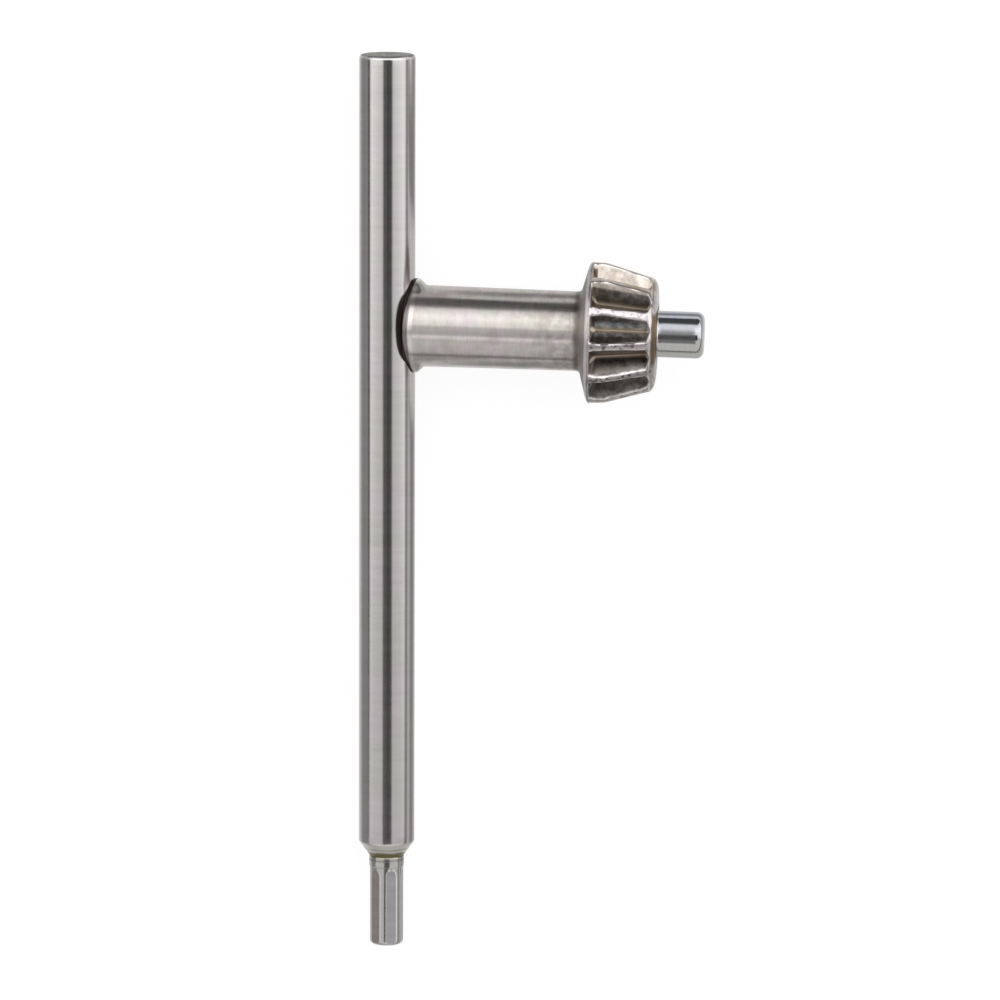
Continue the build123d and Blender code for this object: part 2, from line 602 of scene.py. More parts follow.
@dataclass
class CrossBar:
    """The ground cross bar, with its hexagon tip at the low end and its dished end at the high end."""

    radius: float = 3.5
    plain_reach: float = 33.85
    tip_reach: float = 65.8
    plain_edge: float = 0.5
    dish_radius: float = 1.65
    dish_depth: float = 0.25
    dish_edge: float = 0.12
    shoulder_length: float = 1.9
    shoulder_edge: float = 0.5
    undercut: float = 0.08
    neck_radius: float = 2.2
    neck_length: float = 1.3
    neck_bevel: float = 0.15
    neck_edge: float = 0.03
    tip_length: float = 10.15
    tip_radius: float = 2.125
    tip_end_radius: float = 0.6
    flat_distance: float = 2.0
    cutter_radius: float = 4.0
    tip_turn: float = math.radians(8.5)
    flat_softness: float = 0.03
    flat_end: float = 0.2
    corner_line: float = 0.025
    depth_shown: float = 0.25
    unevenness: float = 0.006
    unevenness_size: float = 5.0
    seed: int = 4
    columns: int = 240

    @property
    def shoulder(self) -> float:
        """Where the shoulder's cone ends."""
        return -self.tip_reach - self.shoulder_length

    @property
    def neck(self) -> float:
        """Where the neck ends."""
        return self.shoulder - self.neck_length

    @property
    def tip_end(self) -> float:
        """Where the tip ends."""
        return self.neck - self.tip_length

    def outline(self) -> Outline:
        """The turned outline, from the tip's end to the plain end.

        Returns:
            The outline.
        """
        step = self.neck_radius - self.tip_radius
        return Outline(
            (
                Corner(self.tip_end, 0.0, step=0.5),
                Corner(self.tip_end, self.tip_radius, self.tip_end_radius, 0.3),
                Corner(self.neck - step, self.tip_radius, step=0.1),
                Corner(self.neck, self.neck_radius, step=0.1),
                Corner(self.shoulder - self.neck_bevel, self.neck_radius, self.neck_edge, 0.1),
                Corner(self.shoulder, self.neck_radius - self.undercut, self.neck_edge, 0.15),
                Corner(-self.tip_reach, self.radius, self.shoulder_edge, 0.8),
                Corner(self.plain_reach, self.radius, self.plain_edge, 0.2),
                Corner(self.plain_reach, self.dish_radius, self.dish_edge, 0.2),
                Corner(self.plain_reach - self.dish_depth, 0.0),
            )
        )

    def mill(self, maker: TreeMaker, blank: Turning) -> Turned:
        """Adds the six milled flats, each with the curved run-out that the cutter leaves at the neck.

        Args:
            maker: the tree's maker.
            blank: the turned fields.

        Returns:
            The milled fields.
        """
        size = blank.size
        rise = size("Neck Radius") - size("Flat Distance")
        run = maker.math("SQRT", (size("Cutter Radius") * 2.0 - rise) * rise)
        past = maker.math("MAXIMUM", blank.along - (size("Neck End") - run), 0.0)
        past = maker.math("MINIMUM", past, size("Cutter Radius"))
        drop = size("Cutter Radius") * size("Cutter Radius") - past * past
        distance = size("Flat Distance") + size("Cutter Radius") - maker.math("SQRT", drop)
        offset = maker.math("PINGPONG", blank.angle + self.tip_turn, math.pi / 6)
        flat = distance / maker.math("COSINE", offset)
        out = maker.softest(blank.out, flat, self.flat_softness, -1.0)
        beyond = maker.ramp(blank.along, self.neck, self.neck + self.flat_end)
        edge = 1.0 / (1.0 + maker.math("POWER", (blank.out - flat) / self.corner_line, 2.0))
        depth = maker.math("MAXIMUM", blank.out - flat, 0.0) / self.depth_shown
        keep = 1.0 - beyond
        mixed = out * keep + blank.out * beyond
        return Turned(blank.along, mixed, depth * keep, edge * keep)

    def build(self, pose: KeyPose, material: bpy.types.Material) -> bpy.types.Object:
        """Makes the bar.

        Args:
            pose: where the key lies.
            material: its finish.

        Returns:
            The piece.
        """
        sizes = {
            "Columns": self.columns,
            "Unevenness": self.unevenness,
            "Unevenness Size": self.unevenness_size,
            "Seed": self.seed,
            "Flat Distance": self.flat_distance,
            "Neck Radius": self.neck_radius,
            "Neck End": self.neck,
            "Cutter Radius": self.cutter_radius,
        }
        return Lathe("ground_bar", self.outline(), sizes, self.mill).make(pose.bar, material)


@dataclass
class KeyBody:
    """The forged body: foot, shank, bevel pinion and pilot pin, turned about one axis."""

    bar_radius: float = 3.5
    skew: float = math.radians(1.32)
    foot_reach: float = 2.25
    foot_edge: float = 1.0
    ear_radius: float = 5.9
    ear_height: float = 7.0
    ear_setback: float = 0.5
    ear_width: float = 1.2
    ear_taper: float = 0.9
    ear_rise: float = 0.35
    ear_fall: float = 0.2
    ear_narrow: float = 0.25
    ear_broad: float = 0.8
    shank_radius: float = 5.09
    shank_narrow: float = 4.955
    shank_reach: float = 24.2
    shank_fillet: float = 0.6
    crown_radius: float = 8.79
    back_cone: float = math.radians(15.3)
    face_cone: float = math.radians(16.5)
    rim_width: float = 2.05
    rim_edge: float = 0.8
    cone_length: float = 6.45
    crown_edge: float = 3.0
    nose_edge: float = 1.6
    pin_root: float = 3.05
    pin_root_length: float = 0.25
    pin_root_edge: float = 0.1
    pin_foot_edge: float = 0.15
    pin_radius: float = 2.9
    pin_length: float = 5.9
    pin_edge: float = 0.95
    teeth: int = 12
    phase: float = math.radians(5.2)
    valley_angle: float = math.radians(80.0)
    root_cone: float = math.radians(9.2)
    valley_depth: float = 2.43
    wall_inset: float = 0.35
    wall_lean: float = math.radians(18.0)
    wall_softness: float = 0.25
    root_softness: float = 0.016
    edge_softness: float = 0.1
    mouth_rise: float = 1.6
    mouth_start: float = 1.15
    mouth_end: float = 0.45
    tooth_start: float = 0.1
    depth_shown: float = 1.2
    edge_line: float = 0.16
    # How wide the painted highlight along each valley root is.
    root_highlight_line: float = 0.28
    run_out: float = 0.25
    run_out_rise: float = 0.5
    run_out_fall: float = 0.3
    unevenness: float = 0.02
    unevenness_size: float = 2.5
    seed: int = 7
    columns: int = 420

    @property
    def rim_reach(self) -> float:
        """Where the pinion's rim starts."""
        return self.shank_reach + (self.crown_radius - self.shank_narrow) * math.tan(self.back_cone)

    @property
    def crown_reach(self) -> float:
        """Where the teeth's cone starts."""
        return self.rim_reach + self.rim_width

    @property
    def face_reach(self) -> float:
        """Where the pinion's small end is."""
        return self.crown_reach + self.cone_length

    @property
    def wall_reach(self) -> float:
        """Where the walls that close the tooth spaces start."""
        return self.rim_reach + self.wall_inset

    def outline(self) -> Outline:
        """The turned outline, from the foot to the end of the pin.

        Returns:
            The outline.
        """
        pin_end = self.face_reach + self.pin_length
        face_radius = self.crown_radius - self.cone_length * math.tan(self.face_cone)
        ear_end = self.foot_reach + self.ear_setback + self.ear_width + self.ear_taper
        return Outline(
            (
                Corner(self.foot_reach, 0.0, step=0.3),
                Corner(self.foot_reach, self.shank_radius, self.foot_edge, 0.12),
                Corner(ear_end + 0.3, self.shank_radius, step=0.8),
                Corner(self.shank_reach, self.shank_narrow, self.shank_fillet, 0.3),
                Corner(self.rim_reach, self.crown_radius, self.rim_edge, 0.1),
                Corner(self.crown_reach, self.crown_radius, self.crown_edge, 0.13),
                Corner(self.face_reach, face_radius, self.nose_edge, 0.22),
                Corner(self.face_reach, self.pin_root, self.pin_root_edge, 0.1),
                Corner(self.face_reach + self.pin_root_length, self.pin_radius, self.pin_foot_edge, 0.5),
                Corner(pin_end, self.pin_radius, self.pin_edge, 0.5),
                Corner(pin_end, 0.0),
            )
        )

    def cut(self, maker: TreeMaker, blank: Turning) -> Turned:
        """Adds the tooth valleys, the ears and the saddle that seats on the bar.

        Args:
            maker: the tree's maker.
            blank: the turned fields.

        Returns:
            The cut fields.
        """
        size = blank.size
        half_pitch = math.pi / self.teeth
        offset = maker.math("PINGPONG", blank.angle - size("Tooth Phase") - half_pitch, half_pitch)
        cosine = maker.math("COSINE", offset)
        sine = maker.math("SINE", offset)
        soft_sine = maker.math("SQRT", sine * sine + size("Root Softness") * size("Root Softness"))
        slope = 1.0 / (math.tan(self.valley_angle / 2) * math.cos(self.root_cone))
        wall_foot = self.wall_reach + self.valley_depth * math.tan(self.wall_lean)
        floor = size("Crown Radius") - size("Valley Depth")
        floor = floor - (blank.along - wall_foot) * math.tan(self.root_cone)
        mouth = (self.face_reach - self.mouth_start, self.face_reach - self.mouth_end)
        root = floor + maker.ramp(blank.along, *mouth, 0.0, self.mouth_rise)
        flank = root / (cosine - soft_sine * slope)
        wall = size("Crown Radius") - (blank.along - size("Wall Reach")) / math.tan(self.wall_lean)
        valley = maker.softest(flank, wall / cosine, self.wall_softness, 1.0)
        low_side = maker.math("MAXIMUM", maker.math("SINE", blank.angle), 0.0)
        risen_at = self.rim_reach + self.run_out_rise
        risen = maker.ramp(blank.along, self.shank_reach, risen_at, 0.0, self.run_out)
        fallen = maker.fall(blank.along, self.face_reach - self.run_out_fall, self.face_reach)
        run_out = risen * low_side * low_side * fallen
        out = maker.softest(blank.out + run_out, valley + run_out, size("Edge Softness"), -1.0)
        soft = self.tooth_start
        teeth = maker.ramp(blank.along, self.rim_reach - soft, self.rim_reach + soft)
        toothed = self.eared(maker, blank, out * teeth + blank.out * (1.0 - teeth))
        gap = blank.out - valley
        depth = maker.ramp(gap, 0.0, self.depth_shown) * teeth
        edge = teeth / (1.0 + maker.math("POWER", gap / self.edge_line, 2.0))
        # The mask for the painted highlight along each valley root.
        line = depth / (1.0 + maker.math("POWER", sine * root / self.root_highlight_line, 2.0))
        facing = toothed * maker.math("COSINE", blank.angle)
        aside = toothed * maker.math("SINE", blank.angle)
        inside = maker.math("MAXIMUM", size("Bar Radius") * size("Bar Radius") - facing * facing, 0.0)
        saddle = maker.math("SQRT", inside) / math.cos(self.skew) + aside * math.tan(self.skew)
        return Turned(maker.math("MAXIMUM", blank.along, saddle), toothed, depth, edge, line)

    def eared(self, maker: TreeMaker, blank: Turning, out: Term) -> Term:
        """Adds the ears that flare the foot along the bar.

        Args:
            maker: the tree's maker.
            blank: the turned fields.
            out: how far out the surface is without them.

        Returns:
            How far out it is with them.
        """
        front = self.foot_reach + self.ear_setback
        back = front + self.ear_width
        rise = maker.ramp(blank.along, front - self.ear_rise, front + self.ear_rise)
        fall = maker.fall(blank.along, back - self.ear_fall, back + self.ear_taper + self.ear_fall / 2)
        half = self.ear_height / 2
        height = maker.math("ABSOLUTE", out * maker.math("COSINE", blank.angle))
        aside = maker.fall(height, half * self.ear_narrow, half * self.ear_broad)
        return out + rise * fall * aside * (self.ear_radius - self.shank_radius)

    def build(self, pose: KeyPose, material: bpy.types.Material) -> bpy.types.Object:
        """Makes the body.

        Args:
            pose: where the key lies.
            material: its finish.

        Returns:
            The piece.
        """
        sizes = {
            "Columns": self.columns,
            "Unevenness": self.unevenness,
            "Unevenness Size": self.unevenness_size,
            "Seed": self.seed,
            "Bar Radius": self.bar_radius,
            "Tooth Phase": self.phase,
            "Crown Radius": self.crown_radius,
            "Valley Depth": self.valley_depth,
            "Wall Reach": self.wall_reach,
            "Root Softness": self.root_softness,
            "Edge Softness": self.edge_softness,
        }
        return Lathe("forged_body", self.outline(), sizes, self.cut).make(pose.body, material)


class Effects:
    """The shader node groups that both finishes use, each of which gives one mask, height or tone."""

    WORN_BORDER: ClassVar[Span] = (0.35, 0.65)

    def __init__(self) -> None:
        """Builds the three groups."""
        self.lines = self.build_lines()
        self.blotches = self.build_blotches()
        self.worn = self.build_worn()

    @staticmethod
    def start(name: str, numbers: Sequence[str]) -> tuple[TreeMaker, dict[str, Term]]:
        """Starts a group that reads a spot and some numbers, and gives one number.

        Args:
            name: the group's name.
            numbers: the names of its number inputs.

        Returns:
            The maker for its nodes, and its inputs by name.
        """
        tree = bpy.data.node_groups.new(name, "ShaderNodeTree")
        tree.interface.new_socket("Spot", in_out="INPUT", socket_type="NodeSocketVector")
        for label in numbers:
            tree.interface.new_socket(label, in_out="INPUT", socket_type="NodeSocketFloat")
        tree.interface.new_socket("Value", in_out="OUTPUT", socket_type="NodeSocketFloat")
        maker = TreeMaker(tree)
        inlet = maker.node("NodeGroupInput")
        return maker, {label: Term(maker, inlet.outputs[label]) for label in ("Spot", *numbers)}

    def build_lines(self) -> bpy.types.NodeTree:
        """Fine lines round a turned or ground surface, as a height from 0 to 1.

        Returns:
            The group.
        """
        maker, ports = self.start("turning_lines", ("Density", "Stretch", "Seed"))
        x, y, z = maker.parts(ports["Spot"])
        drawn = maker.pack(x * ports["Stretch"], y * ports["Stretch"], z * ports["Density"])
        maker.node("NodeGroupOutput", {0: maker.noise(drawn, 1.0, 3.0, ports["Seed"])})
        return maker.tree

    def build_blotches(self) -> bpy.types.NodeTree:
        """Soft blotches of a given size, as a mask.

        Returns:
            The group.
        """
        maker, ports = self.start("blotches", ("Size", "Low", "High", "Seed"))
        cloud = maker.noise(ports["Spot"], 1.0 / ports["Size"], 3.0, ports["Seed"])
        maker.node("NodeGroupOutput", {0: maker.ramp(cloud, ports["Low"], ports["High"])})
        return maker.tree

    def build_worn(self) -> bpy.types.NodeTree:
        """A mask with its border broken up, for edges that are worn unevenly.

        Returns:
            The group.
        """
        maker, ports = self.start("worn_border", ("Mask", "Size", "Roughness", "Seed"))
        cloud = maker.noise(ports["Spot"], 1.0 / ports["Size"], 3.0, ports["Seed"])
        broken = ports["Mask"] + (cloud - 0.5) * ports["Roughness"]
        maker.node("NodeGroupOutput", {0: maker.ramp(broken, *self.WORN_BORDER)})
        return maker.tree


@dataclass(frozen=True)
class Coat:
    """A layer of another colour, with its roughness and the most that there is of it."""

    colour: Colour
    roughness: float
    share: float = 1.0


@dataclass(frozen=True)
class Band:
    """A ring of another colour round a piece, between two places along it."""

    low: float
    high: float
    soft: float
    colour: Colour
    roughness: float
    share: float = 1.0

    def mask(self, maker: TreeMaker, along: Term) -> Term:
        """How much of the ring there is.

        Args:
            maker: the material's maker.
            along: the place along the piece.

        Returns:
            The mask.
        """
        rise = maker.ramp(along, self.low - self.soft, self.low + self.soft, 0.0, self.share)
        return rise * maker.fall(along, self.high - self.soft, self.high + self.soft)


@dataclass
class Finish:
    """The colour and roughness of a finish, as its layers are added."""

    maker: TreeMaker
    colour: Feed
    roughness: Feed

    def layer(self, share: Feed, colour: Feed, roughness: float) -> None:
        """Adds a layer.

        Args:
            share: its mask.
            colour: its colour.
            roughness: its roughness.
        """
        self.colour = self.maker.blend(share, self.colour, colour)
        self.roughness = self.maker.between(share, self.roughness, roughness)

    def coat(self, mask: Term, coat: Coat) -> None:
        """Adds a coat where its mask is."""
        self.layer(mask * coat.share, coat.colour, coat.roughness)


@dataclass(frozen=True)
class Metal:
    """What the two finishes share: the near-black painted shade of the crevice where the foot meets the
    bar, how their nodes start, and the shader at their end.
    """

    effects: Effects
    # The coat named scale is painted shade: the dark crevice where the foot meets the bar.
    scale: Coat = Coat((0.09, 0.07, 0.065), 0.6)
    grain_turn: ClassVar[float] = 0.25

    @staticmethod
    def start(name: str) -> tuple[bpy.types.Material, TreeMaker]:
        """Starts a material.

        Args:
            name: its name.

        Returns:
            The material and the maker for its nodes.
        """
        steel = bpy.data.materials.new(name)
        return steel, TreeMaker.fresh(steel)

    @staticmethod
    def attribute(maker: TreeMaker, name: str, out: str = "Fac") -> Term:
        """One of the masks that the piece was made with."""
        return maker.term("ShaderNodeAttribute", None, out, attribute_name=name)

    @staticmethod
    def toned(maker: TreeMaker, colour: Feed, tone: Feed) -> Term:
        """A colour made lighter or darker."""
        return maker.term("ShaderNodeHueSaturation", {"Color": colour, "Value": tone}, "Color")

    @classmethod
    def shade(cls, maker: TreeMaker, finish: Finish, anisotropy: Feed, height: Term, relief: float) -> None:
        """Adds the metal shader and the material's output.

        Args:
            maker: the material's maker.
            finish: its colour and roughness.
            anisotropy: how far its highlights spread along the piece.
            height: its fine relief, from 0 to 1.
            relief: the height of that relief in metres.
        """
        bump = maker.term("ShaderNodeBump", {"Strength": 1.0, "Distance": relief, "Height": height})
        shader = maker.node(
            "ShaderNodeBsdfPrincipled",
            {
                "Base Color": finish.colour,
                "Metallic": 1.0,
                "Roughness": finish.roughness,
                "Anisotropic": anisotropy,
                "Anisotropic Rotation": cls.grain_turn,
                "Tangent": maker.term("ShaderNodeTangent", direction_type="UV_MAP", uv_map="UVMap"),
                "Normal": bump,
            },
        )
        maker.node("ShaderNodeOutputMaterial", {"Surface": shader.outputs[0]})


@dataclass(frozen=True)
class GroundSteel(Metal):
    """The bar's finish: ground round, with painted light and shade at foot, shoulder, flats and plain end.
    """

    # The first two bands are a painted highlight round the plain end's rounded edge and a painted dark
    # reflection on the end beyond it. Then come a light band over the shoulder with a thin brown line in
    # it, and two dark bands in and just below the corner under the shoulder, which are painted shade.
    bands: tuple[Band, ...] = (
        Band(33.38, 33.68, 0.08, (0.92, 0.89, 0.90), 0.40, 0.8),
        Band(33.7, 40.0, 0.05, (0.27, 0.265, 0.25), 0.42),
        Band(-67.0, -65.7, 0.12, (0.90, 0.87, 0.80), 0.42, 0.8),
        Band(-66.75, -66.55, 0.08, (0.30, 0.22, 0.12), 0.40, 0.5),
        Band(-67.8, -67.1, 0.12, (0.22, 0.175, 0.07), 0.38, 0.9),
        Band(-68.3, -68.0, 0.10, (0.24, 0.21, 0.20), 0.38, 0.6),
    )
    tints: tuple[Colour, Colour] = ((0.615, 0.603, 0.57), (0.635, 0.598, 0.61))
    tone: float = 0.85
    fine_tone: float = 0.12
    broad_tone: float = 0.18
    roughness: float = 0.15
    broad_roughness: float = 0.05
    waviness: float = 0.3
    flat_edge: Span = (0.01, 0.06)
    flat_share: float = 0.9
    # The flats on the side away from the body are painted lighter and pinker than those towards it, as
    # painted light.
    flat_light_sides: Span = (-0.4, 0.4)
    milled: tuple[Colour, Colour] = ((0.98, 0.84, 0.80), (0.62, 0.60, 0.625))
    milled_tone: float = 0.45
    milled_lines: float = 0.4
    milled_roughness: float = 0.30
    rubbed: Coat = Coat((0.88, 0.86, 0.84), 0.28, 0.8)
    # Where the painted shade of the crevice lies on the bar: a crescent beside the foot that curves with
    # the lip.
    crevice_shade_curve: float = 0.0565
    crevice_shade_edge: Span = (1.75, 1.95)
    crevice_shade_end: Span = (5.7, 6.4)
    spread: float = 0.25
    relief: float = 0.0000012

    def material(self) -> bpy.types.Material:
        """Builds the material.

        Returns:
            The material.
        """
        steel, maker = self.start("ground_steel_finish")
        spot = self.attribute(maker, "spot", "Vector")
        x, _, z = maker.parts(spot)
        fine = maker.effect(self.effects.lines, spot=spot, density=7.0, stretch=0.25, seed=3.0)
        broad = maker.effect(self.effects.lines, spot=spot, density=1.1, stretch=0.16, seed=5.0)
        tint = maker.effect(self.effects.blotches, spot=spot, size=5.0, low=0.38, high=0.62, seed=6.0)
        tone = self.tone + fine * self.fine_tone + broad * self.broad_tone
        steel_colour = self.toned(maker, maker.blend(tint, *self.tints), tone)
        finish = Finish(maker, steel_colour, self.roughness + broad * self.broad_roughness)
        wavy = z + (maker.noise(spot, 1.2, 2.0, 8.0) - 0.5) * self.waviness
        for band in self.bands:
            finish.layer(band.mask(maker, wavy), band.colour, band.roughness)
        flat = maker.ramp(self.attribute(maker, "depth"), *self.flat_edge)
        # Painted light: the flats lighter and pinker on the side away from the body.
        milled = maker.blend(maker.ramp(x, *self.flat_light_sides), *self.milled)
        milled = self.toned(maker, milled, self.milled_tone + broad * self.milled_lines)
        finish.layer(flat * self.flat_share, milled, self.milled_roughness)
        edge = self.attribute(maker, "edge")
        rubbed = maker.effect(self.effects.worn, spot=spot, mask=edge, size=0.5, roughness=0.5, seed=9.0)
        finish.coat(rubbed, self.rubbed)
        # Painted shade: a dark crescent on the bar beside the foot, in the crevice under the lip.
        scale = maker.ramp(x - z * z * self.crevice_shade_curve, *self.crevice_shade_edge)
        scale = scale * maker.fall(maker.math("ABSOLUTE", z), *self.crevice_shade_end)
        finish.coat(scale, self.scale)
        self.shade(maker, finish, self.spread, fine, self.relief)
        return steel


@dataclass(frozen=True)
class ForgedSteel(Metal):
    """The body's finish: tumbled satin, brown in the valleys, bright on worn edges, with a polished pin."""

    # A painted highlight round the lip of the foot, with a darker band in front of it, towards the bar.
    foot: tuple[Band, ...] = (
        Band(2.92, 3.5, 0.08, (0.92, 0.87, 0.82), 0.33, 0.9),
        Band(2.3, 2.92, 0.08, (0.42, 0.37, 0.36), 0.45),
    )
    # Rings: painted shade in the corner where the shank meets the pinion, a painted dark reflection on the
    # pinion's back cone, a painted highlight round the rim's rounded edge with a darker line after it, and
    # a light and a darker ring on the nose.
    rings: tuple[Band, ...] = (
        Band(23.6, 24.35, 0.3, (0.19, 0.155, 0.13), 0.42, 0.75),
        Band(24.35, 25.05, 0.10, (0.36, 0.325, 0.31), 0.42, 0.9),
        Band(25.1, 25.42, 0.07, (0.93, 0.90, 0.90), 0.38, 0.85),
        Band(25.45, 25.62, 0.05, (0.46, 0.42, 0.42), 0.38, 0.7),
        Band(33.0, 33.2, 0.06, (0.90, 0.86, 0.80), 0.30, 0.7),
        Band(33.25, 33.4, 0.06, (0.42, 0.40, 0.38), 0.38, 0.6),
    )
    tints: tuple[Colour, Colour] = ((0.69, 0.62, 0.62), (0.645, 0.63, 0.58))
    tone: float = 0.74
    fine_tone: float = 0.30
    broad_tone: float = 0.24
    mottle_tone: float = 0.08
    # A narrow strip along the top and bottom of the shank is made lighter, as painted light.
    painted_light_start: Span = (-0.4, 0.3)
    painted_light_end: Span = (0.6, 1.2)
    painted_light_gain: float = 0.45
    roughness: float = 0.30
    waviness: float = 0.3
    # A darker grey coat in blotches, more of it towards the pinion.
    pinion_darkening: Coat = Coat((0.40, 0.365, 0.335), 0.38)
    pinion_darkening_part: Span = (14.0, 24.0)
    pinion_darkening_shares: Span = (0.05, 0.5)
    stain: Coat = Coat((0.47, 0.40, 0.33), 0.38, 0.25)
    # Painted shade: a brown ring round the pin's root.
    shank_end: Span = (23.0, 24.0)
    pin_root_shade: Coat = Coat((0.24, 0.175, 0.11), 0.42)
    pin_root_shade_start: Span = (33.25, 33.4)
    pin_root_shade_end: Span = (33.8, 33.95)
    pin_root_shade_width: Span = (2.8, 3.6)
    lip_curve: float = 0.015
    # Where the painted shade of the crevice lies on the body: the foot's end, which sits against the bar.
    crevice_shade_curve: float = 0.038
    crevice_shade_edge: Span = (2.25, 2.35)
    # The pin is painted bluer on one side and warmer on the other, as a painted reflection.
    polished: tuple[Colour, Colour] = ((0.585, 0.60, 0.655), (0.62, 0.615, 0.59))
    pin_reflection_sides: Span = (-2.0, 1.5)
    polished_roughness: float = 0.13
    pin_start: Span = (33.8, 34.0)
    spread: float = 1.0
    pin_spread: float = 0.1
    relief: float = 0.000003
    pinion_start: Span = (25.2, 25.5)
    # Lands painted lighter on one side of the pinion and darker on the other, as painted light and shade.
    lands: tuple[Colour, Colour] = ((0.86, 0.80, 0.81), (0.52, 0.475, 0.465))
    land_share: float = 0.9
    land_roughness: float = 0.30
    land_light_sides: Span = (-0.4, 1.4)
    pits: Coat = Coat((0.12, 0.10, 0.095), 0.5)
    pit_shares: Span = (0.35, 0.55)
    flanks: tuple[Colour, Colour] = ((0.34, 0.315, 0.30), (0.22, 0.195, 0.175))
    flank_depth: Span = (0.3, 1.0)
    flank_edge: Span = (0.03, 0.3)
    flank_roughness: float = 0.48
    # Flanks painted light bluish grey in one band across the pinion, as a painted reflection, and darker in
    # two other bands, as painted shade.
    flank_reflection: Colour = (0.60, 0.62, 0.64)
    flank_reflection_start: Span = (-2.6, -1.6)
    flank_reflection_end: Span = (-0.6, -0.2)
    flank_reflection_share: float = 0.8
    flank_shade_start: Span = (0.0, 0.3)
    flank_shade_end: Span = (2.0, 2.6)
    flank_shade_share: float = 0.55
    low_flank_shade_start: Span = (4.8, 5.8)
    low_flank_shade_share: float = 0.3
    creams: tuple[Colour, Colour] = ((0.92, 0.83, 0.74), (0.66, 0.52, 0.36))
    cream_start: Span = (-6.2, -6.5)
    cream_slope: float = 0.144
    cream_share: float = 0.85
    cream_roughness: float = 0.40
    wall: Coat = Coat((0.19, 0.15, 0.13), 0.45)
    wall_depth: Span = (0.2, 0.6)
    wall_end: Span = (26.35, 26.15)
    # A painted highlight along each valley root.
    root_highlight_line: Coat = Coat((0.82, 0.72, 0.60), 0.6, 0.9)
    root_highlight_edge: Span = (0.3, 0.85)
    rubbed: Coat = Coat((0.95, 0.91, 0.90), 0.32, 0.9)

    def material(self) -> bpy.types.Material:
        """Builds the material.

        Returns:
            The material.
        """
        steel, maker = self.start("forged_steel_finish")
        spot = self.attribute(maker, "spot", "Vector")
        _, y, z = maker.parts(spot)
        masks = tuple(self.attribute(maker, name) for name in ("depth", "edge", "root"))
        fine = maker.effect(self.effects.lines, spot=spot, density=5.0, stretch=0.5, seed=12.0)
        broad = maker.effect(self.effects.lines, spot=spot, density=1.6, stretch=0.4, seed=18.0)
        mottle = maker.effect(self.effects.blotches, spot=spot, size=0.9, low=0.36, high=0.66, seed=13.0)
        stain = maker.effect(self.effects.blotches, spot=spot, size=3.2, low=0.50, high=0.68, seed=14.0)
        tint = maker.effect(self.effects.blotches, spot=spot, size=2.2, low=0.40, high=0.60, seed=19.0)
        pin = maker.ramp(z, *self.pin_start)
        warm = maker.blend(tint, *self.tints)
        tone = self.tone + fine * self.fine_tone + broad * self.broad_tone + mottle * self.mottle_tone
        # Painted light: a narrow strip along the shank's top and bottom is made lighter.
        lighter = maker.ramp(y, *self.painted_light_start) * maker.fall(y, *self.painted_light_end)
        lighter = lighter * maker.fall(z, *self.shank_end)
        tone = tone * (1.0 + lighter * self.painted_light_gain)
        finish = Finish(maker, self.toned(maker, warm, tone), self.roughness)
        # Darker grey blotches, more of them towards the pinion.
        crowded = maker.ramp(z, *self.pinion_darkening_part, *self.pinion_darkening_shares)
        finish.coat((1.0 - mottle) * crowded, self.pinion_darkening)
        finish.coat(stain, self.stain)
        self.pinion(maker, finish, spot, masks, mottle, stain)
        wavy = z + (maker.noise(spot, 0.9, 2.0, 17.0) - 0.5) * self.waviness
        # Rings of painted shade, dark reflection and highlight round the body, and two rings on the nose.
        for ring in self.rings:
            finish.layer(ring.mask(maker, wavy), ring.colour, ring.roughness)
        # Painted shade round the pin's root.
        sideways = maker.fall(maker.math("ABSOLUTE", y), *self.pin_root_shade_width)
        pin_root_shade_band = maker.ramp(wavy, *self.pin_root_shade_start) * maker.fall(z, *self.pin_root_shade_end)
        finish.coat(pin_root_shade_band * sideways, self.pin_root_shade)
        # The painted highlight round the foot's lip and the darker band in front of it.
        lip = wavy - y * y * self.lip_curve
        for band in self.foot:
            finish.layer(band.mask(maker, lip), band.colour, band.roughness)
        # Painted shade on the foot's end, in the crevice against the bar.
        scale = maker.fall(z - y * y * self.crevice_shade_curve, *self.crevice_shade_edge)
        finish.coat(scale, self.scale)
        # Painted reflection: the pin bluer on one side and warmer on the other.
        polished = maker.blend(maker.ramp(y, *self.pin_reflection_sides), *self.polished)
        finish.layer(pin, self.toned(maker, polished, 0.9 + fine * 0.2), self.polished_roughness)
        spread = self.spread - pin * (self.spread - self.pin_spread)
        self.shade(maker, finish, spread, mottle * 0.4 + fine * 0.6, self.relief)
        return steel

    def pinion(
        self,
        maker: TreeMaker,
        finish: Finish,
        spot: Term,
        masks: tuple[Term, Term, Term],
        mottle: Term,
        stain: Term,
    ) -> None:
        """Adds the pinion's layers: brown valleys, worn edges, painted light and shade, painted root
        highlights.

        Args:
            maker: the material's maker.
            finish: what the layers are added to.
            spot: the place on the piece.
            masks: how deep in a valley a place is, how near its edge and how near its root.
            mottle: small blotches.
            stain: large blotches.
        """
        depth, edge, root = masks
        _, y, z = maker.parts(spot)
        pinion = maker.ramp(z, *self.pinion_start)
        pitted = maker.effect(self.effects.blotches, spot=spot, size=0.5, low=0.53, high=0.62, seed=15.0)
        # Painted light and shade: lands lighter on one side and darker on the other, with more dark pits on
        # the darker side.
        land = pinion * (1.0 - depth)
        low = maker.ramp(y, *self.land_light_sides)
        finish.layer(land * self.land_share, maker.blend(low, *self.lands), self.land_roughness)
        few, more = self.pit_shares
        finish.coat(land * pitted * (few + low * more), self.pits)
        flank = maker.blend(maker.ramp(depth, *self.flank_depth), *self.flanks)
